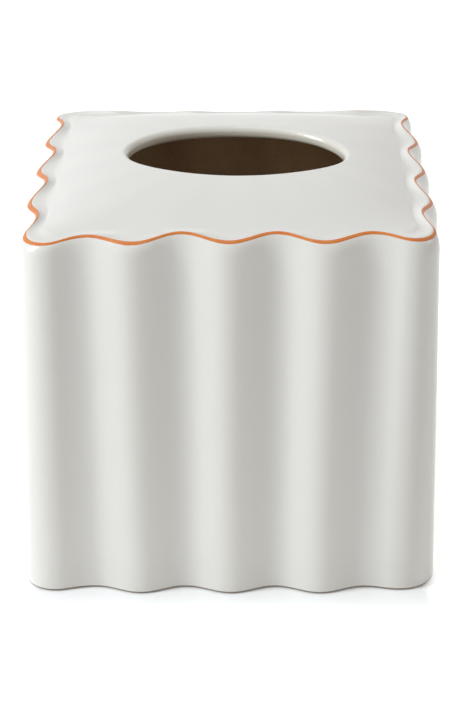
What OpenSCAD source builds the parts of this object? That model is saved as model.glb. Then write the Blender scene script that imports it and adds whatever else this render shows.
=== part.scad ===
// Fluted square tissue box cover: a glazed shell, open below, with an oval opening in a low dome.
// It stands on z = 0 with its middle on the Z axis, and its front faces -Y. Lengths are in mm.

/* [Body] */
// Width of the walls at the base, halfway between the crests and the hollows of the flutes
foot_w = 148.1; // [125:0.1:175]
// Width of the walls at the height of the painted line, taken the same way
rim_w = 140; // [116:0.2:165]
// Height of the painted line above the base
rim_h = 133.9; // [105:0.1:160]
// Corner radius at the base
foot_corner_r = 19.3; // [14:0.1:26]
// Corner radius at the base of the front left corner, which came out squarer
left_foot_corner_r = 15; // [10:0.1:26]
// Corner radius at the rim
rim_corner_r = 12.4; // [9.5:0.1:16]
// Thickness of the walls
wall_t = 4.5; // [3.5:0.1:5.5]

/* [Flutes] */
// Flutes along each side, with a crest at every corner
flutes_per_side = 4; // [2:1:6]
// Length of the flute at a corner as a share of the others' length, at the base
foot_corner_share = 1.38; // [1:0.02:1.5]
// Length of the flute at a corner as a share of the others' length, at the rim
rim_corner_share = 1.12; // [1:0.02:1.5]
// How far a crest stands out, and a hollow goes in, at the base
foot_flute = 2.18; // [0.5:0.02:3]
// How far a crest stands out, and a hollow goes in, at the rim
rim_flute = 2.22; // [0.5:0.02:3]
// Distance from the painted line in to where the flutes have faded out on the top
flute_fade = 12; // [8:0.5:18]

/* [Rim] */
// Distance from the face of the wall in to the painted line
line_in = 2; // [1.4:0.1:3]
// Distance from the line in to the crest of the rim
crest_in = 1; // [0.8:0.1:2.4]
// Height of the crest above the line
crest_rise = 0.4; // [0.2:0.05:1.2]
// How far the rim dips at each flute's crest, and lifts at each hollow
rim_wave = 0.95; // [0:0.05:1.5]
// How far the rim sags at its front left corner
corner_sag = 1.6; // [0:0.1:2]
// Number of flutes, to either side of that corner, over which the sag ends
sag_flutes = 1.5; // [1:0.1:2]
// How far the rim sags in the middle of the back
back_sag = 0.6; // [0:0.1:1.5]

/* [Cove] */
// Distance from the rim's crest in to the bottom of the cove
cove_in = 3.2; // [2.5:0.1:4.5]
// Depth of the cove below the line
cove_depth = 0.3; // [0.1:0.05:1]

/* [Painted line] */
// Width of the line, along the surface
line_w = 1.2; // [0.8:0.1:1.8]
// How far the enamel stands proud of the glaze
line_t = 0.15; // [0.1:0.05:0.3]

/* [Top] */
// Thickness of the top
top_t = 4.5; // [4:0.1:6]
// Rise of the dome at its middle above the line, before the opening is cut
dome_rise = 7.4; // [4:0.1:12]
// Radius of the fillet between the underside of the top and the wall
inner_r = 3; // [1.5:0.1:5]

/* [Opening] */
// Length of the opening at its narrowest, along X
opening_l = 78.2; // [60:0.2:88]
// Width of the opening at its narrowest, along Y
opening_w = 51.6; // [36:0.2:60]
// Radius of the lip's rounding
lip_r = 2.3; // [1.5:0.1:2.6]
// How far the opening lies to the right of the middle
opening_shift = 1.9; // [-3:0.1:3]
// How far the opening is turned seen from above, in degrees
opening_turn = -2; // [-5:0.5:5]

/* [Foot] */
// Height of the bare foot
foot_h = 0.8; // [0.6:0.1:2]
// How far the foot's outer edge is rounded in
foot_round = 0.8; // [0.4:0.1:1.5]
// How far its inner edge is rounded in
foot_inner_round = 0.6; // [0.3:0.1:1]

/* [Hidden] */

glaze = [0.94, 0.93, 0.91];
clay = [0.86, 0.80, 0.70];
enamel = [0.85, 0.47, 0.22];

// Points on each flute, and how strongly they gather at the crests beside a corner
flute_steps = 10;
gather_share = 0.3;
// Powers that shape the cove, the dome and the oval
cove_power = 1.4;
dome_power = 4;
oval_power = 2;

flutes = 4 * flutes_per_side;
count = flutes * flute_steps;

// The rim's section outside its crest is a quarter ellipse, which the line crosses at line_turn
rim_round_w = line_in + crest_in;
line_turn = acos(crest_in / rim_round_w);
rim_round_h = crest_rise / (1 - sin(line_turn));
line_pace = sqrt(pow(rim_round_w * sin(line_turn), 2) + pow(rim_round_h * cos(line_turn), 2));
line_half_turn = line_w / line_pace * 90 / PI;
line_low_turn = line_turn - line_half_turn;
line_high_turn = line_turn + line_half_turn;

// The top panel meets the wall at the bottom of the cove, whose inner side bends up to the dome's slope
joint_in = rim_round_w + cove_in;
joint_half = rim_w / 2 - joint_in;
cove_out = 2 * cove_depth * joint_half / (dome_rise * dome_power + 2 * cove_depth);
dome_half = joint_half - cove_out;
face_top = rim_h + crest_rise - rim_round_h;
under_z = rim_h - cove_depth - top_t;
lip_under_r = 0.75 * min(lip_r, top_t - lip_r);

// Places round the outline, counted in flutes from the crest at the front left corner
function beside_corner(k) = k % flutes_per_side == 0 || k % flutes_per_side == flutes_per_side - 1;
function gather(k) = beside_corner(k) ? gather_share : 0;
places = [for (k = [0 : flutes - 1], j = [0 : flute_steps - 1])
    let (turn = j * 360 / flute_steps)
    k + (turn - gather(k) * sin(turn) * 180 / PI) / 360];

// What changes evenly with height: half the width, the corner radius, and the flutes' depth and lengths
function between(low, high, z) = low + (high - low) * z / rim_h;
function half_at(z) = between(foot_w, rim_w, z) / 2;
function from_front_left(place) = min(place, flutes - place);
function corner_at(z, place) = between(
    from_front_left(place) < flutes_per_side / 2 ? left_foot_corner_r : foot_corner_r, rim_corner_r, z);
function flute_at(z) = between(foot_flute, rim_flute, z);
function corner_share_at(z) = between(foot_corner_share, rim_corner_share, z);
function wave(place) = cos(360 * place);

// How far the rim sags, at the front left corner and along the back
function sag(place) =
    let (
        corner_way = min(1, from_front_left(place) / sag_flutes),
        back_way = min(1, max(0, place / flutes_per_side - 2))
    )
    corner_sag * (1 + cos(180 * corner_way)) / 2 + back_sag * sqrt(max(0, sin(180 * back_way)));

// How far the rim dips at a place, following its wave by one share and its sag by another
function dip(place, wave_share, sag_share) =
    rim_wave * wave_share * wave(place) + sag_share * sag(place);

// The share of the flutes that is left inside the line, at an inset from the face of the wall
function flute_left(inset) = pow(max(0, 1 - max(0, inset - line_in) / flute_fade), 2);

// One point of a rounded square, pushed out along its own normal
function outline(half, r, out, place, corner_share = rim_corner_share) =
    let (
        side = half - r,
        quarter = floor(place / flutes_per_side),
        from_corner = place - quarter * flutes_per_side,
        in_corner = min(from_corner, 0.5) + max(from_corner + 0.5 - flutes_per_side, 0),
        length = from_corner + (corner_share - 1) * in_corner,
        bend = PI * r / 4,
        along = length / (flutes_per_side - 1 + corner_share) * 2 * (side + bend),
        turn = (min(along - bend, 0) + max(along - bend - 2 * side, 0)) / r,
        slide = min(max(along - bend - side, -side), side),
        angle = turn * 180 / PI - 90,
        x = slide + (r + out) * cos(angle),
        y = -side + (r + out) * sin(angle)
    )
    [x * cos(90 * quarter) - y * sin(90 * quarter), x * sin(90 * quarter) + y * cos(90 * quarter)];

// A ring of the wall, set in from its face, that follows the flutes, the wave and the sag by shares
function ring(inset, z, flute_share = 1, wave_share = 0, sag_share = 0) = [for (p = places)
    let (
        out = flute_at(z) * flute_share * wave(p),
        q = outline(half_at(z) - inset, corner_at(z, p) - inset, out, p, corner_share_at(z))
    )
    [q.x, q.y, z - dip(p, wave_share, sag_share)]];

// A ring round the rim's outer rounding, and one pushed out from it along its normal
function rim_ring(turn, proud = 0) =
    let (
        inset = rim_round_w * (1 - cos(turn)),
        z = rim_h + crest_rise - rim_round_h * (1 - sin(turn)),
        share = min(1, sin(turn) / sin(line_turn)),
        left = flute_left(inset)
    )
    ring(inset - proud * cos(turn), z + proud * sin(turn), left, share * pow(left, 2), share * sqrt(left));

// A ring of the fillet under the top, where the flutes gain depth again
function fillet_ring(turn) =
    let (left = flute_left(joint_in))
    ring(joint_in - (joint_in - wall_t) * sin(turn), under_z - inner_r * (1 - cos(turn)),
        left + (1 - left) * sin(turn), pow(left, 2) * cos(turn), sqrt(left) * cos(turn));

function fall(x) = 1 - pow(min(1, abs(x) / dome_half), dome_power);
function dome(x, y) = dome_rise * fall(x) * fall(y);

// A point of the oval, set in from where the lip starts, seen from the middle at the outline's angle
function oval(inset, place) =
    let (
        q = outline(rim_w / 2, rim_corner_r, 0, place),
        angle = atan2(q.y, q.x),
        across = abs(cos(angle - opening_turn)) / (opening_l / 2 + lip_r - inset),
        deep = abs(sin(angle - opening_turn)) / (opening_w / 2 + lip_r - inset),
        reach = pow(pow(across, oval_power) + pow(deep, oval_power), -1 / oval_power)
    )
    [opening_shift + reach * cos(angle), reach * sin(angle)];

// A ring of the top: share 0 lies on the outline at the inset, share 1 on the oval
function top_ring(inset, share, drop) = [for (p = places)
    let (
        left = flute_left(inset + (rim_w / 2 - inset - opening_w / 2 - lip_r) * share),
        q = outline(rim_w / 2 - inset, rim_corner_r - inset, rim_flute * left * wave(p), p),
        c = oval(0, p),
        x = q.x + (c.x - q.x) * share,
        y = q.y + (c.y - q.y) * share
    )
    [x, y, rim_h + dome(x, y) - drop - dip(p, pow(left, 2), sqrt(left))]];

// Rings down the inside of the rim into the cove, at the joint, and up from it to the dome's foot
function cove_ring(share) =
    top_ring(rim_round_w + cove_in * share, 0,
        (crest_rise + cove_depth) * (1 - pow(1 - pow(share, cove_power), 2)) - crest_rise);
function joint_ring(drop) = top_ring(joint_in, 0, drop);
function bend_ring(share) =
    top_ring(joint_in + cove_out * share, 0, cove_depth * (1 - pow(share, 2)));

// A ring of the dome, from its foot at share 0 to the oval at share 1
function dome_ring(share, drop = 0) = top_ring(joint_in + cove_out, share, drop);

// A ring of the lip, set in from its start and down from the dome there
function lip_ring(inset, drop) = [for (p = places)
    let (q = oval(inset, p), c = oval(0, p))
    [q.x, q.y, rim_h + dome(c.x, c.y) - drop]];

// Triangles between ring a and ring b, with the other diagonal where a neighbour shares them
function strip(a, b, turned) = [for (i = [0 : count - 1])
    let (j = (i + 1) % count, p = a * count + i, q = a * count + j, r = b * count + j, s = b * count + i)
    each turned ? [[p, s, q], [q, s, r]] : [[p, s, r], [p, r, q]]];

// A closed solid whose section is a loop of rings
module hoop(rings, shared = []) {
    n = len(rings);
    polyhedron(
        points = [for (r = rings) each r],
        faces = [for (k = [0 : n - 1]) each strip(k, (k + 1) % n, len(search(k, shared)) > 0)],
        convexity = 6);
}

module fluted_wall() {
    face_shares = [0, 0.35, 0.7, 1];
    inner_shares = [0.66, 0.33, 0];
    color(glaze) hoop(concat(
        [for (s = face_shares) ring(0, foot_h + (face_top - foot_h) * s)],
        [for (t = [24, 43, line_low_turn, line_turn, line_high_turn, 90]) rim_ring(t)],
        [cove_ring(0.2), cove_ring(0.5), joint_ring(cove_depth), joint_ring(cove_depth + top_t)],
        [for (t = [30, 60, 90]) fillet_ring(t)],
        [for (s = inner_shares) ring(wall_t, foot_h + (under_z - inner_r - foot_h) * s)]));
}

module domed_top() {
    dome_shares = [0, 0.07, 0.16, 0.28, 0.42, 0.6, 0.8, 1];
    under_shares = [1, 0.66, 0.3];
    color(glaze) hoop(concat(
        [joint_ring(cove_depth), bend_ring(0.5)],
        [for (s = dome_shares) dome_ring(s)],
        [for (s = under_shares) dome_ring(s, top_t)],
        [joint_ring(cove_depth + top_t)]), [13]);
}

module opening_lip() {
    color(glaze) hoop(concat(
        [for (t = [0, 18, 36, 54, 72, 90]) lip_ring(lip_r * sin(t), lip_r * (1 - cos(t)))],
        [for (t = [0, 30, 60, 90])
            lip_ring(lip_r - lip_under_r * (1 - cos(t)), top_t - lip_under_r * (1 - sin(t)))],
        [lip_ring(0, top_t)]), [10]);
}

module foot_ring() {
    color(clay) hoop(concat(
        [for (t = [90, 60, 30, 0]) ring(foot_round * (1 - cos(t)), foot_h * (1 - sin(t)))],
        [ring(wall_t, foot_h), ring(wall_t, foot_h / 2), ring(wall_t - foot_inner_round, 0)]), [3]);
}

module rim_line() {
    color(enamel) hoop([rim_ring(line_low_turn), rim_ring(line_turn, line_t), rim_ring(line_high_turn),
        rim_ring(line_turn)], [2, 3]);
}

fluted_wall();
domed_top();
opening_lip();
foot_ring();
rim_line();
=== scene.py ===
# %% [markdown]
# # A fluted tissue box cover
# The cover is a glazed ceramic shell: four fluted walls, a low dome with an oval opening, and a
# line of orange enamel fired onto the wavy rim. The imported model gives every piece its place
# and size. This lesson gives each piece a fine mesh, and its glaze, clay or enamel.

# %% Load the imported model
import math

import bmesh
import bpy
from mathutils import Matrix, Vector


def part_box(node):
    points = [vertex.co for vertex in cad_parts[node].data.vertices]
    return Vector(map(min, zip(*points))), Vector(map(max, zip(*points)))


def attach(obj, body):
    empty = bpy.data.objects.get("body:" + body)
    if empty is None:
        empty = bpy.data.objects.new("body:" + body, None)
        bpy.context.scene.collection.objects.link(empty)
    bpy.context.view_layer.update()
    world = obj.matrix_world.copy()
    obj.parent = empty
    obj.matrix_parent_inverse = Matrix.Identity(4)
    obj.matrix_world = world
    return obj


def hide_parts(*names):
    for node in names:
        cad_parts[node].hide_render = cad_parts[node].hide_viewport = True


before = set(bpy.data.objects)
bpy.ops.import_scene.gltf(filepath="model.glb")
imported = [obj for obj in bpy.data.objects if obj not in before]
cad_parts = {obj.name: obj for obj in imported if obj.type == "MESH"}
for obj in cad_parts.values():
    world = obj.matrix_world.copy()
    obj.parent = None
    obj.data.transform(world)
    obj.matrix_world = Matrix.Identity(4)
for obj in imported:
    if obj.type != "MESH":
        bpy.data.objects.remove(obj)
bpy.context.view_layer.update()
mm = 0.001
print("CAD nodes:", sorted(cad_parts))

# %% [markdown]
# ## Camera
# The photograph looks down on the cover from the front, through a long lens. The camera stands at
# the place that a fit of the rim, the foot and the opening gave, so it comes before the shapes.
# A long lens could be had by standing far off and cropping, but a true focal length keeps the
# walls' slight convergence.

# %% Place the camera
IMAGE_W, IMAGE_H = 460, 706
FOCAL_PIXELS = 1867.8
SENSOR_H = 24.0
camera_place = Vector((6.73, -644.33, 363.38)) * mm
camera_pitch = math.radians(25.255)
camera_roll = math.radians(-0.29)
camera_turn = math.radians(0.66)

camera_data = bpy.data.cameras.new("camera")
camera_data.sensor_fit = "VERTICAL"
camera_data.sensor_height = SENSOR_H
camera_data.lens = FOCAL_PIXELS / IMAGE_H * SENSOR_H
camera = bpy.data.objects.new("camera", camera_data)
bpy.context.scene.collection.objects.link(camera)
camera.matrix_world = (
    Matrix.Translation(camera_place)
    @ Matrix.Rotation(camera_turn, 4, "Z")
    @ Matrix.Rotation(math.pi / 2 - camera_pitch, 4, "X")
    @ Matrix.Rotation(camera_roll, 4, "Z")
)
bpy.context.scene.camera = camera
bpy.context.scene.view_settings.view_transform = "Standard"
print("lens:", round(camera_data.lens, 1), "mm on a sensor", SENSOR_H, "mm high, for a picture of",
      IMAGE_W, "x", IMAGE_H, "pixels")

# %% [markdown]
# ## Sizes
# Everything follows from a few sizes: the round millimetres that the maker of the mould would have
# on the drawing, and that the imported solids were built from. They could be measured on the solids,
# but a box tells only the outer reach of a wavy wall, and a rule needs the sizes behind it. Widths
# are taken halfway between the crests and the hollows of the flutes. Only the cove behind the rim
# starts a little sharper here than in the solids.

# %% Sizes of the walls and the foot
rim_h, wall_t = 133.9 * mm, 4.5 * mm
foot_w, rim_w = 148.1 * mm, 140.0 * mm
foot_corner_r, rim_corner_r = 19.3 * mm, 12.4 * mm
left_foot_corner_r = 15.0 * mm
flutes = 16
foot_flute, rim_flute = 2.18 * mm, 2.22 * mm
foot_corner_share, rim_corner_share = 1.38, 1.12
foot_h, foot_round, foot_inner_round = 0.8 * mm, 0.8 * mm, 0.6 * mm

packed_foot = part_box("foot_ring")[1]
print("foot reaches", round(packed_foot.x / mm, 1), "mm from the middle in the packed model,",
      round((foot_w / 2 + foot_flute) / mm, 1), "mm on the drawing")

# %% Sizes of the rim, the cove behind it and the painted line
line_in, crest_in, crest_rise = 2.0 * mm, 1.0 * mm, 0.4 * mm
line_w, line_t = 1.2 * mm, 0.15 * mm
rim_wave, flute_fade = 0.95 * mm, 12.0 * mm
corner_sag, sag_flutes, back_sag = 1.6 * mm, 1.5, 0.6 * mm
cove_in, cove_depth, cove_power = 3.2 * mm, 0.3 * mm, 1.1
print("line:", line_w / mm, "mm wide,", line_in / mm, "mm in from the wall's face")

# %% Sizes of the top and its opening
top_t, inner_r = 4.5 * mm, 3.0 * mm
dome_rise, dome_power = 7.4 * mm, 4.0
opening_l, opening_w, lip_r = 78.2 * mm, 51.6 * mm, 2.3 * mm
opening_shift, opening_turn = 1.9 * mm, math.radians(-2.0)
oval_l, oval_w, oval_power = opening_l + 2 * lip_r, opening_w + 2 * lip_r, 2.0
joint_in = line_in + crest_in + cove_in
joint_half = rim_w / 2 - joint_in
cove_out = 2 * cove_depth * joint_half / (dome_rise * dome_power + 2 * cove_depth)
dome_half = joint_half - cove_out
under_z = rim_h - cove_depth - top_t
print("oval over the lip:", round(oval_l / mm, 1), "x", round(oval_w / mm, 1), "mm")

# %% [markdown]
# ## Sections
# Every piece is a hoop: a closed section carried round the square outline. A section is a short
# list of points, and each point says how far in it lies from the wall's face, at which height,
# and how strongly it follows the flutes. A point of the top also says which share of the way to
# the oval it has gone. Points are close together where the surface turns.

# %% Describe one point of a section
POINT_FIELDS = ("inset", "level", "height", "flute", "wave", "sag", "share", "oval_inset",
                "domed", "inner", "slip_in", "slip_up", "painted_bounce_share")


def flute_left(inset):
    """the share of the flutes that is left this far in from the wall's face"""
    return max(0.0, 1 - max(0.0, inset - line_in) / flute_fade) ** 2


def wall_point(inset, height, flute=1.0, dip=0.0, inner=0.0):
    return dict(inset=inset, level=height, height=height, flute=flute, wave=dip * flute ** 2,
                sag=dip * math.sqrt(flute), inner=inner)


def top_point(inset, share, drop, inner=0.0):
    """a point this share of the way from the outline to the oval, and this far under the dome"""
    left = flute_left(inset + (rim_w / 2 - inset - oval_w / 2) * share)
    return dict(inset=inset, level=rim_h, height=rim_h - drop, flute=left, wave=left ** 2,
                sag=math.sqrt(left), share=share, domed=1.0, inner=inner)


def lip_point(oval_inset, drop, inner=0.0):
    point = top_point(0.0, 1.0, drop, inner)
    point["oval_inset"] = oval_inset
    return point


def steps(start, end, count, ends=True):
    """even steps from start to end, without the last one if ends is off"""
    last = count if ends else count - 1
    return [start + (end - start) * i / count for i in range(last + 1)]


# %% Work out the rim's rounding
rim_round_w = line_in + crest_in
line_turn = math.acos(crest_in / rim_round_w)
rim_round_h = crest_rise / (1 - math.sin(line_turn))
face_top = rim_h + crest_rise - rim_round_h
line_pace = math.hypot(rim_round_w * math.sin(line_turn), rim_round_h * math.cos(line_turn))
line_half_turn = line_w / 2 / line_pace


def rim_point(turn, proud=0.0):
    """a point on the quarter ellipse over the rim, or this much proud of it"""
    inset = rim_round_w * (1 - math.cos(turn))
    height = rim_h + crest_rise - rim_round_h * (1 - math.sin(turn))
    dip = min(1.0, math.sin(turn) / math.sin(line_turn))
    return wall_point(inset - proud * math.cos(turn), height + proud * math.sin(turn),
                      flute_left(inset), dip)


def joint_point(drop, inner=0.0):
    return top_point(joint_in, 0.0, drop, inner)


print("rounding", round(rim_round_w / mm, 2), "x", round(rim_round_h / mm, 2), "mm")


# %% Say how many rows of points each stretch gets
ROWS = dict(face=14, rounding=18, cove=10, fillet=6, inside=8, cove_end=6, dome_start=9, dome=14,
            under=8, lip=12, lip_under=8, foot=6, line=8)
DOME_START = 0.3
UNDER_SHARE = 0.75
CLOSE = 0.02  # a row this close beside a joint keeps the shading flat up to it
print("rows:", sum(ROWS.values()))


# %% List the sections of the wall and the top
def cove_point(share):
    drop = (crest_rise + cove_depth) * (1 - (1 - share ** cove_power) ** 2) - crest_rise
    return top_point(rim_round_w + cove_in * share, 0.0, drop)


def fillet_point(turn):
    point = wall_point(joint_in - (joint_in - wall_t) * math.sin(turn),
                       under_z - inner_r * (1 - math.cos(turn)), flute_left(joint_in), 1.0, 1.0)
    point["flute"] += (1 - point["flute"]) * math.sin(turn)
    point["wave"] *= math.cos(turn)
    point["sag"] *= math.cos(turn)
    return point


def wall_section():
    face = [wall_point(0.0, z) for z in steps(foot_h, face_top, ROWS["face"])]
    rounding = [rim_point(turn) for turn in steps(0.0, math.pi / 2, ROWS["rounding"])[1:]]
    cove = [cove_point(share) for share in steps(0.0, 1.0, ROWS["cove"])[1:-1] + [1.0 - CLOSE]]
    joint = [joint_point(cove_depth), joint_point(cove_depth + top_t, 1.0)]
    fillet = [fillet_point(turn) for turn in steps(0.0, math.pi / 2, ROWS["fillet"])[1:]]
    inside = [wall_point(wall_t, z, inner=1.0)
              for z in steps(under_z - inner_r, foot_h, ROWS["inside"])[1:]]
    return face + rounding + cove + joint + fillet + inside


def top_section():
    dome_foot = joint_in + cove_out
    cove = [top_point(joint_in + cove_out * share, 0.0, cove_depth * (1 - share ** 2))
            for share in [CLOSE] + steps(0.0, 1.0, ROWS["cove_end"])[1:-1]]
    dome = [top_point(dome_foot, share, 0.0)
            for share in steps(0.0, DOME_START, ROWS["dome_start"], ends=False)
            + steps(DOME_START, 1.0, ROWS["dome"])]
    under = [top_point(dome_foot, share, top_t, 1.0) for share in steps(1.0, 0.0, ROWS["under"])]
    return [joint_point(cove_depth)] + cove + dome + under + [joint_point(cove_depth + top_t, 1.0)]


# %% List the sections of the lip, the foot and the line
def lip_section():
    """Over the lip's rounding the points say how much painted warm shade they get, standing for
    light bounced off the clay inside.
    """
    under_r = UNDER_SHARE * min(lip_r, top_t - lip_r)
    upper, lower = [], []
    for turn in [CLOSE] + steps(0.0, math.pi / 2, ROWS["lip"])[1:]:
        point = lip_point(lip_r * math.sin(turn), lip_r * (1 - math.cos(turn)))
        upper.append(dict(point, painted_bounce_share=math.sin(turn) ** 2))
    for turn in steps(0.0, math.pi / 2, ROWS["lip_under"]):
        point = lip_point(lip_r - under_r * (1 - math.cos(turn)),
                          top_t - under_r * (1 - math.sin(turn)))
        lower.append(dict(point, painted_bounce_share=1.0))
    return [lip_point(0.0, 0.0)] + upper + lower + [lip_point(0.0, top_t, 1.0)]


def foot_section():
    outer = [wall_point(foot_round * (1 - math.cos(t)), foot_h * (1 - math.sin(t)))
             for t in steps(math.pi / 2, 0.0, ROWS["foot"])]
    inner = [wall_point(wall_t, foot_h), wall_point(wall_t, foot_h / 2),
             wall_point(wall_t - foot_inner_round / 3, foot_h / 6)]
    return outer + inner + [wall_point(wall_t - foot_inner_round, 0.0)]


def line_section():
    """A flat bead, whose edges dip just under the glaze and can sway along its slope."""
    sunk, sway, flatness = -0.03 * mm, 0.1 * mm, 4
    across = (rim_round_w * math.sin(line_turn), rim_round_h * math.cos(line_turn))
    slope = Vector(across).normalized()
    bead = []
    for side in steps(-1.0, 1.0, ROWS["line"]):
        proud = line_t + (sunk - line_t) * side ** flatness
        point = rim_point(line_turn + line_half_turn * side, proud)
        point.update(slip_in=slope.x * sway * side, slip_up=slope.y * sway * side)
        bead.append(point)
    return bead + [rim_point(line_turn, 2 * sunk)]


sections = {
    "fluted_wall": wall_section(),
    "domed_top": top_section(),
    "opening_lip": lip_section(),
    "foot_ring": foot_section(),
    "rim_line": line_section(),
}
print({name: len(points) for name, points in sections.items()}, "points")

# %% [markdown]
# ## A tree that carries a section round the fluted outline
# Modelling the flutes by hand, or bending a flat strip with modifiers, would not keep the section
# true in the corners. A Geometry Nodes tree can work out every point from the rule of the
# outline: a square with round corners, pushed in and out by a cosine. A small helper class turns
# ordinary sums into Math nodes, so that the rule stays readable.


# %% A number that flows through a node tree
class Flow:
    """A socket that can be used in sums: each sum adds one Math node to the tree."""

    tree = None

    def __init__(self, socket):
        self.socket = socket

    @classmethod
    def math(cls, operation, *terms):
        node = cls.tree.nodes.new("ShaderNodeMath")
        node.operation = operation
        for slot, term in zip(node.inputs, terms):
            if isinstance(term, Flow):
                cls.tree.links.new(term.socket, slot)
            else:
                slot.default_value = term
        return Flow(node.outputs[0])

    def __add__(self, other):
        return Flow.math("ADD", self, other)

    def __sub__(self, other):
        return Flow.math("SUBTRACT", self, other)

    def __rsub__(self, other):
        return Flow.math("SUBTRACT", other, self)

    def __mul__(self, other):
        return Flow.math("MULTIPLY", self, other)

    def __truediv__(self, other):
        return Flow.math("DIVIDE", self, other)

    def __rtruediv__(self, other):
        return Flow.math("DIVIDE", other, self)


def low_of(a, b):
    return Flow.math("MINIMUM", a, b)


def high_of(a, b):
    return Flow.math("MAXIMUM", a, b)


def sine(a):
    return Flow.math("SINE", a)


def cosine(a):
    return Flow.math("COSINE", a)


def power(a, b):
    return Flow.math("POWER", a, b)


def size_of(a):
    return Flow.math("ABSOLUTE", a)


# %% Name the tree's inputs
POINTS_PER_FLUTE = 32
SIZES = {
    "Foot Width": foot_w, "Rim Width": rim_w, "Rim Height": rim_h,
    "Foot Corner Radius": foot_corner_r, "Rim Corner Radius": rim_corner_r,
    "Left Foot Corner Radius": left_foot_corner_r,
    "Foot Flute": foot_flute, "Rim Flute": rim_flute, "Rim Wave": rim_wave,
    "Corner Sag": corner_sag, "Sag Flutes": sag_flutes, "Back Sag": back_sag,
    "Dome Rise": dome_rise, "Dome Half Width": dome_half, "Dome Power": dome_power,
    "Oval Length": oval_l, "Oval Width": oval_w, "Oval Shift": opening_shift,
    "Oval Turn": opening_turn, "Oval Power": oval_power,
    "Foot Corner Flute": foot_corner_share, "Rim Corner Flute": rim_corner_share,
}
COUNTS = {"Flutes": flutes, "Points Around": flutes * POINTS_PER_FLUTE}

hoop_tree = bpy.data.node_groups.new("fluted_hoop", "GeometryNodeTree")
sockets = [("Section", "Geometry")]
sockets += [(name, "Float") for name in SIZES] + [(name, "Int") for name in COUNTS]
sockets += [("Outer Material", "Material"), ("Inner Material", "Material")]
for name, kind in sockets:
    hoop_tree.interface.new_socket(name, in_out="INPUT", socket_type="NodeSocket" + kind)
hoop_tree.interface.new_socket("Hoop", in_out="OUTPUT", socket_type="NodeSocketGeometry")
print("tree inputs:", len(hoop_tree.interface.items_tree) - 1)


# %% Lay out a grid: across it the section, along it the outline
def add(kind, **values):
    node = hoop_tree.nodes.new(kind)
    for key, value in values.items():
        setattr(node, key, value)
    return node


def join(a, b):
    hoop_tree.links.new(a, b)


Flow.tree = hoop_tree
inputs = add("NodeGroupInput")
given = {name: Flow(inputs.outputs[name]) for name in list(SIZES) + list(COUNTS)}

section_size = add("GeometryNodeAttributeDomainSize", component="MESH")
join(inputs.outputs["Section"], section_size.inputs["Geometry"])
section_count = Flow(section_size.outputs["Point Count"])

grid = add("GeometryNodeMeshGrid")
grid.inputs["Size X"].default_value = 1.0
grid.inputs["Size Y"].default_value = 1.0
join((given["Points Around"] + 1.0).socket, grid.inputs["Vertices X"])
join((section_count + 1.0).socket, grid.inputs["Vertices Y"])

where = add("ShaderNodeSeparateXYZ")
join(add("GeometryNodeInputPosition").outputs["Position"], where.inputs[0])
share_around = Flow(where.outputs["X"]) + 0.5
row = Flow.math("ROUND", (Flow(where.outputs["Y"]) + 0.5) * section_count)
row = Flow.math("FLOORED_MODULO", row, section_count)


def from_section(field):
    value = add("GeometryNodeInputNamedAttribute", data_type="FLOAT")
    value.inputs["Name"].default_value = field
    sample = add("GeometryNodeSampleIndex", data_type="FLOAT", domain="POINT")
    join(inputs.outputs["Section"], sample.inputs["Geometry"])
    join(value.outputs["Attribute"], sample.inputs["Value"])
    join(row.socket, sample.inputs["Index"])
    return Flow(sample.outputs["Value"])


at = {field: from_section(field) for field in POINT_FIELDS}
print("nodes so far:", len(hoop_tree.nodes))

# %% [markdown]
# The enamel is painted by hand with a fine brush, so its two edges wander a little. On the real
# cover the line is also wider along the left side, and so thin along the back that it hardly
# shows. Noise that is read along a circle comes back to where it began, so the line has no break
# at its ends.

# %% Let the painted edges wander
BRUSH_TURNS, BRUSH_DETAIL = 9.0, 2.0
BRUSH_SWING, BRUSH_MIDDLE = 2.0, 0.3
BACK_SIDE, BACK_THIN = 2.0, 6.0
LEFT_SIDE, LEFT_THICK = 3.0, 2.8
WIDTH_POWER = 0.3  # the lower, the sooner the line reaches a side's width after the corner
round_angle = share_around * (2 * math.pi)
circle = add("ShaderNodeCombineXYZ")
join((cosine(round_angle) * BRUSH_TURNS).socket, circle.inputs[0])
join((sine(round_angle) * BRUSH_TURNS).socket, circle.inputs[1])
join((at["slip_in"] * (1 / mm)).socket, circle.inputs[2])
brush = add("ShaderNodeTexNoise")
brush.inputs["Scale"].default_value = 1.0
brush.inputs["Detail"].default_value = BRUSH_DETAIL
join(circle.outputs[0], brush.inputs["Vector"])


def along_side(number, steepness):
    """1 in the middle of a side and 0 from its corners on; front 0, right 1, back 2, left 3"""
    on_side = low_of(high_of(share_around * 4.0 - number, 0.0), 1.0)
    return power(high_of(sine(on_side * math.pi), 0.0), steepness)


thicker = (along_side(LEFT_SIDE, WIDTH_POWER) * LEFT_THICK
           - along_side(BACK_SIDE, WIDTH_POWER) * BACK_THIN)
wander = Flow(brush.outputs["Fac"]) * BRUSH_SWING - BRUSH_MIDDLE + thicker
inset = at["inset"] + at["slip_in"] * wander
height = at["height"] + at["slip_up"] * wander
print("brush noise turns on a circle of", BRUSH_TURNS)

# %% [markdown]
# The outline is worked out for one side and then turned for the other three. `turn` counts the
# flutes from the front left corner. The flute at a corner is longer than the others, by a share
# that changes from the foot to the rim. The front left corner is the squarest one at the foot, as
# hand-made casts never have four equal corners.

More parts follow.
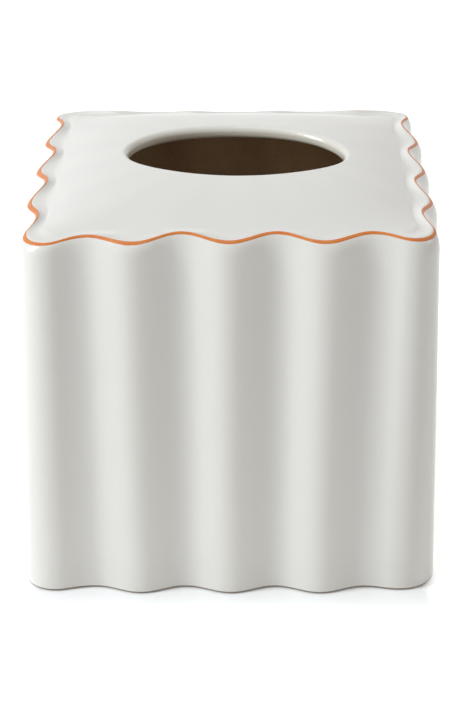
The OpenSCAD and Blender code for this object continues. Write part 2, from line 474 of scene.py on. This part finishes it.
# %% Work out how wide, how round and how deep the outline is at each height
rise = at["level"] / given["Rim Height"]
half = (given["Foot Width"] + (given["Rim Width"] - given["Foot Width"]) * rise) / 2.0 - inset
turn = share_around * given["Flutes"]
per_side = given["Flutes"] / 4.0
from_front_left = low_of(turn, given["Flutes"] - turn)
by_front_left = Flow.math("LESS_THAN", from_front_left, per_side / 2.0)
foot_radius = given["Foot Corner Radius"]
foot_radius = foot_radius + (given["Left Foot Corner Radius"] - foot_radius) * by_front_left
radius = foot_radius + (given["Rim Corner Radius"] - foot_radius) * rise - inset
flute = (given["Foot Flute"] + (given["Rim Flute"] - given["Foot Flute"]) * rise) * at["flute"]
wave = cosine(turn * (2 * math.pi))
reach = radius + flute * wave
print("nodes so far:", len(hoop_tree.nodes))

# %% Walk along one side, round its corners, and turn it into place
quarter = Flow.math("FLOOR", share_around * 4.0)
from_corner = turn - quarter * per_side
beside_corner = low_of(from_corner, 0.5) + high_of(from_corner + 0.5 - per_side, 0.0)
corner_share = (given["Foot Corner Flute"]
                + (given["Rim Corner Flute"] - given["Foot Corner Flute"]) * rise)
length = from_corner + (corner_share - 1.0) * beside_corner
side = half - radius
bend = radius * (math.pi / 4)
along = length / (per_side - 1.0 + corner_share) * 2.0 * (side + bend)
before = low_of(along - bend, 0.0)
after = high_of(along - bend - side * 2.0, 0.0)
corner_angle = (before + after) / radius - math.pi / 2
slide = low_of(high_of(along - bend - side, side * -1.0), side)
flat_x = slide + reach * cosine(corner_angle)
flat_y = reach * sine(corner_angle) - side
turned = quarter * (math.pi / 2)
outline_x = flat_x * cosine(turned) - flat_y * sine(turned)
outline_y = flat_x * sine(turned) + flat_y * cosine(turned)
print("nodes so far:", len(hoop_tree.nodes))

# %% [markdown]
# The top's points slide from the outline to the oval. The dome falls off towards all four sides,
# and the rim dips at its crests, sags towards the front left corner and, a little, along the back.

# %% Work out the oval, the dome and the final place
SAG_POWER = 0.5
middle_angle = Flow.math("ARCTAN2", outline_y, outline_x)
across = size_of(cosine(middle_angle - given["Oval Turn"]))
deep = size_of(sine(middle_angle - given["Oval Turn"]))


def oval_reach(inset):
    length = power(across / (given["Oval Length"] / 2.0 - inset), given["Oval Power"])
    width = power(deep / (given["Oval Width"] / 2.0 - inset), given["Oval Power"])
    return power(length + width, -1.0 / given["Oval Power"])


def toward_oval(inset):
    distance = oval_reach(inset)
    oval_x = given["Oval Shift"] + distance * cosine(middle_angle)
    oval_y = distance * sine(middle_angle)
    return (outline_x + (oval_x - outline_x) * at["share"],
            outline_y + (oval_y - outline_y) * at["share"])


def fall(distance):
    outward = low_of(size_of(distance) / given["Dome Half Width"], 1.0)
    return 1.0 - power(outward, given["Dome Power"])


start_x, start_y = toward_oval(0.0)
x, y = toward_oval(at["oval_inset"])
dome = given["Dome Rise"] * fall(start_x) * fall(start_y) * at["domed"]
corner_way = low_of(from_front_left / given["Sag Flutes"], 1.0)
corner_part = given["Corner Sag"] * (cosine(corner_way * math.pi) + 1.0) / 2.0
back_part = given["Back Sag"] * along_side(BACK_SIDE, SAG_POWER)
z = height + dome - given["Rim Wave"] * at["wave"] * wave - at["sag"] * (corner_part + back_part)

final = add("ShaderNodeCombineXYZ")
for number, slot in zip((x, y, z), final.inputs):
    join(number.socket, slot)
print("nodes so far:", len(hoop_tree.nodes))

# %% [markdown]
# The tree stores how near a crest a point lies, how much painted warm shade a point of the lip
# gets, and whether the point is inside, because the finishes need to know. That comes before the
# points move, while the grid still tells the row and the place. The grid's first and last column
# then lie on each other, and so do its first and last row, so merging by distance closes the hoop.
# Sharp edges stay crisp.

# %% Store what the finishes need, close the hoop and smooth it
MERGE_DISTANCE = 0.001 * mm
CRISP_ANGLE = math.radians(35)


def store(geometry, name, value):
    node = add("GeometryNodeStoreNamedAttribute", data_type="FLOAT", domain="POINT")
    node.inputs["Name"].default_value = name
    join(geometry, node.inputs["Geometry"])
    join(value.socket, node.inputs["Value"])
    return node.outputs["Geometry"]


def compare(value, limit):
    node = add("FunctionNodeCompare", data_type="FLOAT", operation="GREATER_THAN")
    join(value, node.inputs["A"])
    node.inputs["B"].default_value = limit
    return node.outputs["Result"]


shape = store(grid.outputs["Mesh"], "crest", wave)
shape = store(shape, "inside", at["inner"])
shape = store(shape, "painted_bounce_share", at["painted_bounce_share"])
set_place = add("GeometryNodeSetPosition")
join(shape, set_place.inputs["Geometry"])
join(final.outputs[0], set_place.inputs["Position"])
merge = add("GeometryNodeMergeByDistance")
merge.inputs["Distance"].default_value = MERGE_DISTANCE
join(set_place.outputs["Geometry"], merge.inputs["Geometry"])
realize = add("GeometryNodeRealizeInstances")
join(merge.outputs["Geometry"], realize.inputs["Geometry"])
smooth = add("GeometryNodeSetShadeSmooth")
join(realize.outputs["Geometry"], smooth.inputs["Geometry"])
crisp = add("GeometryNodeSetShadeSmooth", domain="EDGE")
join(smooth.outputs["Geometry"], crisp.inputs["Geometry"])
edge_angle = add("GeometryNodeInputMeshEdgeAngle").outputs["Unsigned Angle"]
join(compare(edge_angle, CRISP_ANGLE), crisp.inputs["Selection"])
crisp.inputs["Shade Smooth"].default_value = False
print("nodes so far:", len(hoop_tree.nodes))

# %% Give the outside and the inside their materials
INSIDE_LIMIT = 0.99
outer = add("GeometryNodeSetMaterial")
join(crisp.outputs["Geometry"], outer.inputs["Geometry"])
join(inputs.outputs["Outer Material"], outer.inputs["Material"])
inner = add("GeometryNodeSetMaterial")
join(outer.outputs["Geometry"], inner.inputs["Geometry"])
is_inside = add("GeometryNodeInputNamedAttribute", data_type="FLOAT")
is_inside.inputs["Name"].default_value = "inside"
join(compare(is_inside.outputs["Attribute"], INSIDE_LIMIT), inner.inputs["Selection"])
join(inputs.outputs["Inner Material"], inner.inputs["Material"])
result = add("NodeGroupOutput")
join(inner.outputs["Geometry"], result.inputs["Hoop"])
print("tree nodes:", len(hoop_tree.nodes))

# %% [markdown]
# ## Shared effects
# The outside is one soft white glaze, the inside and the foot are bare clay, and the line is
# enamel. Real finishes are never one flat colour, so three small effects are made once, as
# shader groups: clouds of two tones, specks for the clay's grit, and a rippled surface. Each
# finish below places them with its own values. A painted image could do this too, but it would
# need a flat map of a wavy shell, and noise in object space needs none.


# %% Helpers for shader groups
def new_group(name, numbers, outputs):
    tree = bpy.data.node_groups.new(name, "ShaderNodeTree")
    for title, value in numbers:
        socket = tree.interface.new_socket(title, in_out="INPUT", socket_type="NodeSocketFloat")
        socket.default_value = value
    for title, kind in outputs:
        tree.interface.new_socket(title, in_out="OUTPUT", socket_type=kind)
    return tree, tree.nodes.new("NodeGroupInput"), tree.nodes.new("NodeGroupOutput")


def object_spot(tree):
    return tree.nodes.new("ShaderNodeTexCoord").outputs["Object"]


def noise(tree, spot, scale, detail):
    node = tree.nodes.new("ShaderNodeTexNoise")
    node.inputs["Detail"].default_value = detail
    tree.links.new(spot, node.inputs["Vector"])
    tree.links.new(scale, node.inputs["Scale"])
    return node.outputs["Fac"]


def spread(tree, value, low, high):
    node = tree.nodes.new("ShaderNodeMapRange")
    node.interpolation_type = "SMOOTHSTEP"
    tree.links.new(value, node.inputs["Value"])
    for slot, end in (("From Min", low), ("From Max", high)):
        if isinstance(end, float):
            node.inputs[slot].default_value = end
        else:
            tree.links.new(end, node.inputs[slot])
    return node.outputs["Result"]


# The Mix node has a Factor, an A and a B for each kind of value, so colours go by number.
FACTOR, COLOR_A, COLOR_B, MIXED = 0, 6, 7, 2


def blend_colors(tree, factor, color_a, color_b):
    node = tree.nodes.new("ShaderNodeMix")
    node.data_type = "RGBA"
    for index, value in ((FACTOR, factor), (COLOR_A, color_a), (COLOR_B, color_b)):
        if isinstance(value, bpy.types.NodeSocket):
            tree.links.new(value, node.inputs[index])
        else:
            node.inputs[index].default_value = value
    return node.outputs[MIXED]


# %% Clouds, specks and ripple
CLOUD_DETAIL, CLOUD_LOW, CLOUD_HIGH = 3.0, 0.15, 0.85
SPECK_CORE = 0.4
BROAD_DETAIL, FINE_DETAIL = 1.0, 2.0


def make_clouds():
    tree, start, end = new_group("clouds", [("Scale", 30.0)],
                                 outputs=[("Mask", "NodeSocketFloat")])
    cloud = noise(tree, object_spot(tree), start.outputs["Scale"], CLOUD_DETAIL)
    tree.links.new(spread(tree, cloud, CLOUD_LOW, CLOUD_HIGH), end.inputs["Mask"])
    return tree


def make_specks():
    tree, start, end = new_group("specks", [("Scale", 250.0), ("Size", 0.12), ("Kept", 0.1)],
                                 outputs=[("Mask", "NodeSocketFloat")])
    cells = tree.nodes.new("ShaderNodeTexVoronoi")
    tree.links.new(object_spot(tree), cells.inputs["Vector"])
    tree.links.new(start.outputs["Scale"], cells.inputs["Scale"])
    Flow.tree = tree
    size = Flow(start.outputs["Size"])
    dot = Flow(spread(tree, cells.outputs["Distance"], size.socket, (size * SPECK_CORE).socket))
    pick = tree.nodes.new("ShaderNodeSeparateColor")
    tree.links.new(cells.outputs["Color"], pick.inputs[0])
    kept = Flow.math("LESS_THAN", Flow(pick.outputs[0]), Flow(start.outputs["Kept"]))
    tree.links.new((dot * kept).socket, end.inputs["Mask"])
    return tree


def make_ripple():
    tree, start, end = new_group(
        "ripple", [("Broad Scale", 70.0), ("Fine Scale", 700.0), ("Fine Share", 0.15)],
        outputs=[("Height", "NodeSocketFloat")])
    spot = object_spot(tree)
    Flow.tree = tree
    broad = Flow(noise(tree, spot, start.outputs["Broad Scale"], BROAD_DETAIL))
    fine = Flow(noise(tree, spot, start.outputs["Fine Scale"], FINE_DETAIL))
    height = broad + (fine - broad) * Flow(start.outputs["Fine Share"])
    tree.links.new(height.socket, end.inputs["Height"])
    return tree


clouds, specks, ripple = make_clouds(), make_specks(), make_ripple()
print("effects:", clouds.name, specks.name, ripple.name)


# %% [markdown]
# ## Finishes
# A Principled shader with a clear coat is close to how glaze works: a matt white body seen
# through a thin layer of glass. The body's white is warm. The glaze lies a little thicker and
# cooler in the hollows of the flutes, and its gloss varies in soft clouds. Over the lip it gets a
# painted warm shade, which stands for light bounced off the bare clay inside.


# %% Helpers for a finish
def new_finish(name, roughness=0.3, coat=0.0, coat_roughness=0.1):
    material = bpy.data.materials.new(name)
    material.use_nodes = True
    tree = material.node_tree
    shader = tree.nodes["Principled BSDF"]
    shader.inputs["Roughness"].default_value = roughness
    shader.inputs["Coat Weight"].default_value = coat
    shader.inputs["Coat Roughness"].default_value = coat_roughness
    return material, tree, shader


def place_group(tree, effect, **values):
    node = tree.nodes.new("ShaderNodeGroup")
    node.node_tree = effect
    for key, value in values.items():
        node.inputs[key.replace("_", " ")].default_value = value
    return node.outputs[0]


def attribute(tree, name):
    node = tree.nodes.new("ShaderNodeAttribute")
    node.attribute_name = name
    return node.outputs["Fac"]


def bump(tree, shader, height, distance, strength):
    node = tree.nodes.new("ShaderNodeBump")
    node.inputs["Distance"].default_value = distance
    node.inputs["Strength"].default_value = strength
    tree.links.new(height, node.inputs["Height"])
    tree.links.new(node.outputs["Normal"], shader.inputs["Normal"])


# %% White glaze
GLAZE_CREST = (0.86, 0.835, 0.79, 1.0)
GLAZE_HOLLOW = (0.84, 0.82, 0.785, 1.0)
GLAZE_CLOUD = (0.85, 0.83, 0.775, 1.0)
# Painted shade: a warm, darker tint for the lip that stands for light bounced off the bare clay
# inside.
PAINTED_BOUNCE_SHADE = (0.80, 0.75, 0.64, 1.0)
HOLLOW_END, CREST_END = -1.0, 0.6
CLOUD_SHARE = 0.5
GLOSSIEST, GLOSS_SWING = 0.27, 0.06


def white_glaze():
    material, tree, shader = new_finish("white_glaze", coat=0.5, coat_roughness=0.12)
    pooled = spread(tree, attribute(tree, "crest"), HOLLOW_END, CREST_END)
    color = blend_colors(tree, pooled, GLAZE_HOLLOW, GLAZE_CREST)
    cloud = place_group(tree, clouds, Scale=22.0)
    Flow.tree = tree
    color = blend_colors(tree, (Flow(cloud) * CLOUD_SHARE).socket, color, GLAZE_CLOUD)
    # Painted shade: the lip takes the warm tint as far as its stored share says.
    color = blend_colors(tree, attribute(tree, "painted_bounce_share"), color, PAINTED_BOUNCE_SHADE)
    tree.links.new(color, shader.inputs["Base Color"])
    gloss = Flow(cloud) * GLOSS_SWING + GLOSSIEST
    tree.links.new(gloss.socket, shader.inputs["Roughness"])
    waves = place_group(tree, ripple, Broad_Scale=70.0, Fine_Scale=700.0, Fine_Share=0.12)
    bump(tree, shader, waves, distance=0.12 * mm, strength=0.6)
    return material


# %% [markdown]
# The clay is matt, mottled and gritty. Its lowest millimetre is painted darker: painted shade that
# stands for the contact shadow under the foot, and gives the cover its thin dark lower edge.

# %% Bare clay, as on the foot and inside
CLAY_LIGHT = (0.74, 0.58, 0.41, 1.0)
CLAY_DARK = (0.64, 0.48, 0.32, 1.0)
CLAY_GRIT = (0.38, 0.27, 0.17, 1.0)
# Painted shade: this dark clay colour stands for the shadow where the foot meets the table.
PAINTED_FOOT_SHADE = (0.30, 0.25, 0.19, 1.0)
GRIT_SHARE = 0.5
PAINTED_SHADE_TOP = 1.0 * mm


def bare_clay():
    material, tree, shader = new_finish("bare_clay", roughness=0.85)
    cloud = place_group(tree, clouds, Scale=45.0)
    color = blend_colors(tree, cloud, CLAY_DARK, CLAY_LIGHT)
    grit = place_group(tree, specks, Scale=700.0, Size=0.3, Kept=0.25)
    Flow.tree = tree
    color = blend_colors(tree, (Flow(grit) * GRIT_SHARE).socket, color, CLAY_GRIT)
    # Painted shade: the lowest millimetre of clay, on the foot and inside, is darkened like a
    # contact shadow.
    spot = tree.nodes.new("ShaderNodeSeparateXYZ")
    tree.links.new(object_spot(tree), spot.inputs[0])
    painted_shade_at_foot = Flow.math("LESS_THAN", Flow(spot.outputs["Z"]), PAINTED_SHADE_TOP)
    color = blend_colors(tree, painted_shade_at_foot.socket, color, PAINTED_FOOT_SHADE)
    tree.links.new(color, shader.inputs["Base Color"])
    grain = place_group(tree, ripple, Broad_Scale=300.0, Fine_Scale=1800.0, Fine_Share=0.5)
    bump(tree, shader, grain, distance=0.15 * mm, strength=0.8)
    return material


# %% [markdown]
# Enamel that is laid on with a brush is thicker in some places than in others, so its orange goes
# from full to thin along the line. It is matter than the glaze, with a weak coat.

# %% Orange enamel
ENAMEL_FULL = (0.70, 0.17, 0.018, 1.0)
ENAMEL_THIN = (0.76, 0.26, 0.055, 1.0)


def orange_enamel():
    material, tree, shader = new_finish("orange_enamel", roughness=0.4, coat=0.1,
                                        coat_roughness=0.12)
    stroke = place_group(tree, clouds, Scale=260.0)
    color = blend_colors(tree, stroke, ENAMEL_FULL, ENAMEL_THIN)
    tree.links.new(color, shader.inputs["Base Color"])
    strokes = place_group(tree, ripple, Broad_Scale=500.0, Fine_Scale=2200.0, Fine_Share=0.3)
    bump(tree, shader, strokes, distance=0.05 * mm, strength=0.6)
    return material


finishes = {
    "white_glaze": white_glaze(),
    "bare_clay": bare_clay(),
    "orange_enamel": orange_enamel(),
}
print("finishes:", list(finishes))

# %% [markdown]
# ## Making the pieces
# Each piece starts as a mesh that holds only the points of its section. The tree turns that into
# the hoop, and the result is kept as a plain mesh, because a finished piece should not depend
# on a live modifier.


# %% Run the tree on one section
def input_key(title):
    for item in hoop_tree.interface.items_tree:
        if item.name == title and item.in_out == "INPUT":
            return item.identifier
    raise KeyError(title)


def make_piece(name, slot, inner_slot):
    points = sections[name]
    mesh = bpy.data.meshes.new(name + "_section")
    mesh.from_pydata([(0.0, 0.0, 0.0)] * len(points), [], [])
    for field in POINT_FIELDS:
        values = mesh.attributes.new(field, "FLOAT", "POINT")
        values.data.foreach_set("value", [point.get(field, 0.0) for point in points])
    maker = bpy.data.objects.new(name + "_maker", mesh)
    bpy.context.scene.collection.objects.link(maker)
    modifier = maker.modifiers.new("fluted_hoop", "NODES")
    modifier.node_group = hoop_tree
    for title, value in {**SIZES, **COUNTS}.items():
        modifier[input_key(title)] = value
    modifier[input_key("Outer Material")] = finishes[slot]
    modifier[input_key("Inner Material")] = finishes[inner_slot]
    seen = maker.evaluated_get(bpy.context.evaluated_depsgraph_get())
    piece_mesh = bpy.data.meshes.new_from_object(seen)
    piece_mesh.name = name + "_mesh"
    maker.modifiers.remove(modifier)
    bpy.data.objects.remove(maker)
    piece = bpy.data.objects.new(name + "_fine", piece_mesh)
    bpy.context.scene.collection.objects.link(piece)
    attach(piece, "root")
    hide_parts(name)
    print(name, len(piece_mesh.polygons), "faces")
    return piece


# %% Make the five pieces
pieces = [
    make_piece("fluted_wall", "white_glaze", "bare_clay"),
    make_piece("domed_top", "white_glaze", "bare_clay"),
    make_piece("opening_lip", "white_glaze", "bare_clay"),
    make_piece("foot_ring", "bare_clay", "bare_clay"),
    make_piece("rim_line", "orange_enamel", "orange_enamel"),
]

# %% Check that every hoop is closed and faces outward
for piece in pieces:
    check = bmesh.new()
    check.from_mesh(piece.data)
    open_edges = sum(len(edge.link_faces) != 2 for edge in check.edges)
    volume = round(check.calc_volume(signed=True) / mm ** 3)
    print(piece.name, "open edges:", open_edges, "volume:", volume, "mm3")
    check.free()

# %% [markdown]
# ## Floor
# The cover stands on a white table that runs into a white background. Pouring more light on the
# table would burn out the cover as well, so the table gives off a little white that only the
# camera and the gloss can see. It still takes the cover's shadow. Close in front of the foot and
# under the cover that white fades out, which leaves the narrow shadow of contact, and a dark
# inside when one looks down through the opening.

# %% Lay the floor
WHITE = (1.0, 1.0, 1.0, 1.0)
FLOOR_SIDE, FLOOR_DROP = 6.0, 0.1 * mm
FLOOR_WHITE = (0.9, 0.9, 0.9, 1.0)
floor_mesh = bpy.data.meshes.new("floor")
reach_out = FLOOR_SIDE / 2
floor_mesh.from_pydata([(-reach_out, -reach_out, 0), (reach_out, -reach_out, 0),
                        (reach_out, reach_out, 0), (-reach_out, reach_out, 0)], [], [(0, 1, 2, 3)])
floor = bpy.data.objects.new("floor", floor_mesh)
bpy.context.scene.collection.objects.link(floor)
floor.location.z = -FLOOR_DROP
floor_material, floor_tree, floor_shader = new_finish("white_table", roughness=0.7)
floor_shader.inputs["Base Color"].default_value = FLOOR_WHITE
floor_shader.inputs["Specular IOR Level"].default_value = 0.0
floor_shader.inputs["Emission Color"].default_value = WHITE
floor_mesh.materials.append(floor_material)
print("floor:", FLOOR_SIDE, "m wide")

# %% Measure how far a spot of the floor lies from the foot
CONTACT_HALF, CONTACT_REACH, CONTACT_POWER = 74.0 * mm, 32.0 * mm, 8.0
CONTACT_END_IN, CONTACT_END_OUT = 6.0 * mm, 1.0 * mm
UNDER_WALL = 71.8 * mm  # this straight line stays hidden under the wavy back wall
floor_spot = floor_tree.nodes.new("ShaderNodeSeparateXYZ")
floor_tree.links.new(object_spot(floor_tree), floor_spot.inputs[0])
Flow.tree = floor_tree
floor_x, floor_y = Flow(floor_spot.outputs["X"]), Flow(floor_spot.outputs["Y"])
beside = size_of(floor_x)
square = power(beside, CONTACT_POWER) + power(size_of(floor_y), CONTACT_POWER)
away_from_foot = power(square, 1 / CONTACT_POWER)
clear_ahead = Flow(spread(floor_tree, away_from_foot.socket,
                          CONTACT_HALF, CONTACT_HALF + CONTACT_REACH))
clear_beside = Flow(spread(floor_tree, beside.socket,
                           CONTACT_HALF - CONTACT_END_IN, CONTACT_HALF + CONTACT_END_OUT))
clear_behind = Flow.math("GREATER_THAN", floor_y, UNDER_WALL)
clear = high_of(high_of(clear_ahead, clear_beside), clear_behind)
print("contact shadow:", round(CONTACT_REACH / mm), "mm deep")

# %% Give the floor its white, for the camera and the gloss only
FLOOR_LIFT, CONTACT_LIFT = 0.66, 0.12


def seen_by_eye(tree):
    path = tree.nodes.new("ShaderNodeLightPath")
    Flow.tree = tree
    seen = high_of(Flow(path.outputs["Is Camera Ray"]), Flow(path.outputs["Is Glossy Ray"]))
    return high_of(seen, Flow(path.outputs["Is Transmission Ray"]))


floor_seen = seen_by_eye(floor_tree)
lift = clear * (FLOOR_LIFT - CONTACT_LIFT) + CONTACT_LIFT
floor_tree.links.new((floor_seen * lift).socket, floor_shader.inputs["Emission Strength"])
print("floor lift:", FLOOR_LIFT)

# %% [markdown]
# ## Light
# An even surround lights all sides softly and a little warmly, while the camera and the gloss see
# it as white. A tall key lamp far round to the left grazes the front, and so draws the flutes. A
# small lamp overhead lifts the top, and a weak fill from the right keeps the far side of each
# flute from going dull. One strong lamp from the front would light more and show less: the flutes
# would go flat. The lamps are slightly blue against the warm surround.

# %% Surround
SURROUND = 0.322
SURROUND_COLOR = (1.0, 0.935, 0.86, 1.0)
world = bpy.data.worlds.new("surround")
bpy.context.scene.world = world
world.use_nodes = True
world_tree = world.node_tree
background = world_tree.nodes["Background"]
world_seen = seen_by_eye(world_tree)
surround_color = blend_colors(world_tree, world_seen.socket, SURROUND_COLOR, WHITE)
world_tree.links.new(surround_color, background.inputs["Color"])
surround_strength = world_seen * (1.0 - SURROUND) + SURROUND
world_tree.links.new(surround_strength.socket, background.inputs["Strength"])
print("surround strength:", SURROUND)


# %% Lamps
LAMP_WHITE = (0.87, 0.945, 1.0)
LAMP_DISTANCE = 2.0
LAMP_AIM = Vector((0.0, 0.0, 70.0 * mm))


def lamp(name, azimuth, elevation, width, height, watts):
    """azimuth counts from the front towards the left; both angles are in degrees"""
    turn, tilt = math.radians(azimuth), math.radians(elevation)
    away = Vector((-math.sin(turn) * math.cos(tilt), -math.cos(turn) * math.cos(tilt),
                   math.sin(tilt)))
    data = bpy.data.lights.new(name, "AREA")
    data.shape = "RECTANGLE"
    data.size, data.size_y = width, height
    data.energy = watts
    data.color = LAMP_WHITE
    light = bpy.data.objects.new(name, data)
    light.location = LAMP_AIM + away * LAMP_DISTANCE
    light.rotation_euler = (-away).to_track_quat("-Z", "Y").to_euler()
    bpy.context.scene.collection.objects.link(light)
    print(name, "lamp:", watts, "W")


lamp("key", azimuth=71, elevation=34, width=0.6, height=1.2, watts=29.0)
lamp("overhead", azimuth=90, elevation=78, width=0.8, height=0.8, watts=3.6)
lamp("fill", azimuth=270, elevation=32, width=0.8, height=0.8, watts=3.8)
